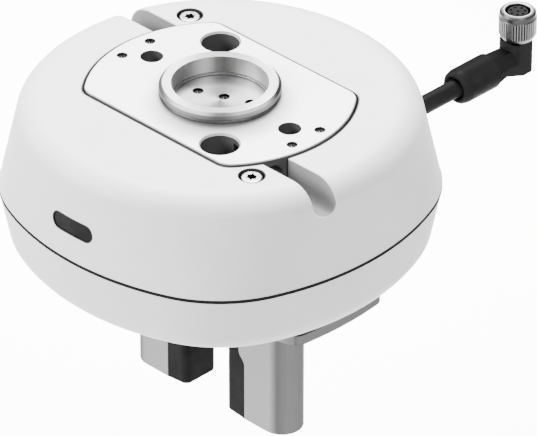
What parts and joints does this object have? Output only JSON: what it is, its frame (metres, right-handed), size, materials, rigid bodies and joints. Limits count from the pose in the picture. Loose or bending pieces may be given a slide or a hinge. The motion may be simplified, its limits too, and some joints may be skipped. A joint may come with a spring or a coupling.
{
  "type": "parallel gripper",
  "caption": "Electric parallel gripper for a robot wrist: round white housing with a robot flange, a status window, opposed rubber-padded fingers and a short cable with an angled plug.",
  "frame": {"origin": "centre of the robot side flange face, at the foot of the centring ring", "axes": "+Z out of the flange towards the robot, +X along the jaw travel on the side of the right jaw, +Y along the cable away from the status window"},
  "size_m": [0.1074, 0.1706, 0.0944],
  "materials": {
    "shell_white": "satin white moulded shell",
    "seal_black": "matt black seal",
    "window_smoke": "smoked window",
    "flange_aluminium": "bead blasted",
    "ring_steel": "turned",
    "screw_steel": "bright",
    "finger_aluminium": "satin anodised",
    "pad_rubber": "matt black",
    "cable_black": "matt black jacket",
    "plug_black": "moulded black",
    "insert_black": "moulded black",
    "nut_nickel": "nickel plated, ribbed",
    "frame_cast": "cast and milled",
    "board_green": "solder mask",
    "motor_dark": "black",
    "gear_brass": "hobbed",
    "shaft_steel": "ground",
    "bush_bronze": "sintered"
  },
  "bodies": {
    "housing": {"flange_plate": "flange_aluminium", "centring_ring": "ring_steel", "upper_housing": "shell_white", "lower_housing": "shell_white", "housing_seal": "seal_black", "status_window": "window_smoke", "light_board": "board_green", "control_board": "board_green", "frame": "frame_cast", "motor": "motor_dark", "shaft_bearings": "bush_bronze", "guide_rods": "shaft_steel", "rod_holder_right": "frame_cast", "rod_holder_left": "frame_cast", "cable_grommet": "cable_black", "cable": "cable_black", "connector_body": "plug_black", "contact_insert": "insert_black", "clamp_screws": "screw_steel", "flange_screws": "screw_steel", "ring_screws": "screw_steel", "board_screws": "screw_steel", "motor_screws": "screw_steel", "cover_screws": "screw_steel", "base_screws": "screw_steel", "holder_screws": "screw_steel", "pedestal_screws": "screw_steel"},
    "jaw_right": {"carriage_right": "frame_cast", "bushes_right": "bush_bronze", "rack_right": "shaft_steel", "finger_right": "finger_aluminium", "pad_right": "pad_rubber", "finger_screws_right": "screw_steel", "rack_screws_right": "screw_steel"},
    "jaw_left": {"carriage_left": "frame_cast", "bushes_left": "bush_bronze", "rack_left": "shaft_steel", "finger_left": "finger_aluminium", "pad_left": "pad_rubber", "finger_screws_left": "screw_steel", "rack_screws_left": "screw_steel"},
    "pinion": {"pinion_shaft": "shaft_steel", "rack_pinion": "gear_brass", "drive_gear": "gear_brass"},
    "rotor": {"motor_shaft": "shaft_steel", "motor_pinion": "gear_brass"},
    "nut": {"coupling_nut": "nut_nickel"}
  },
  "joints": [
    {"name": "right_jaw_slide", "type": "slide", "parent": "housing", "child": "jaw_right", "axis": [-1, 0, 0], "range_m": [0, 0.0071]},
    {"name": "left_jaw_slide", "type": "slide", "parent": "housing", "child": "jaw_left", "axis": [1, 0, 0], "range_m": [0, 0.0071]},
    {"name": "pinion_turn", "type": "hinge", "parent": "housing", "child": "pinion", "pos_m": [0, 0, -0.016], "axis": [0, 0, 1], "range_deg": [0, 64]},
    {"name": "motor_turn", "type": "hinge", "parent": "housing", "child": "rotor", "pos_m": [0, 0.0176, -0.016], "axis": [0, 0, 1], "range_deg": [-170, 0]},
    {"name": "nut_turn", "type": "hinge", "parent": "housing", "child": "nut", "pos_m": [0, 0.1118, -0.027], "axis": [0, 0, 1], "continuous": true}
  ],
  "couplings": [
    {"joint": "left_jaw_slide", "follows": "right_jaw_slide", "ratio": 1},
    {"joint": "pinion_turn", "follows": "right_jaw_slide", "rad_per_m": 156.25},
    {"joint": "motor_turn", "follows": "right_jaw_slide", "rad_per_m": -416.67}
  ]
}
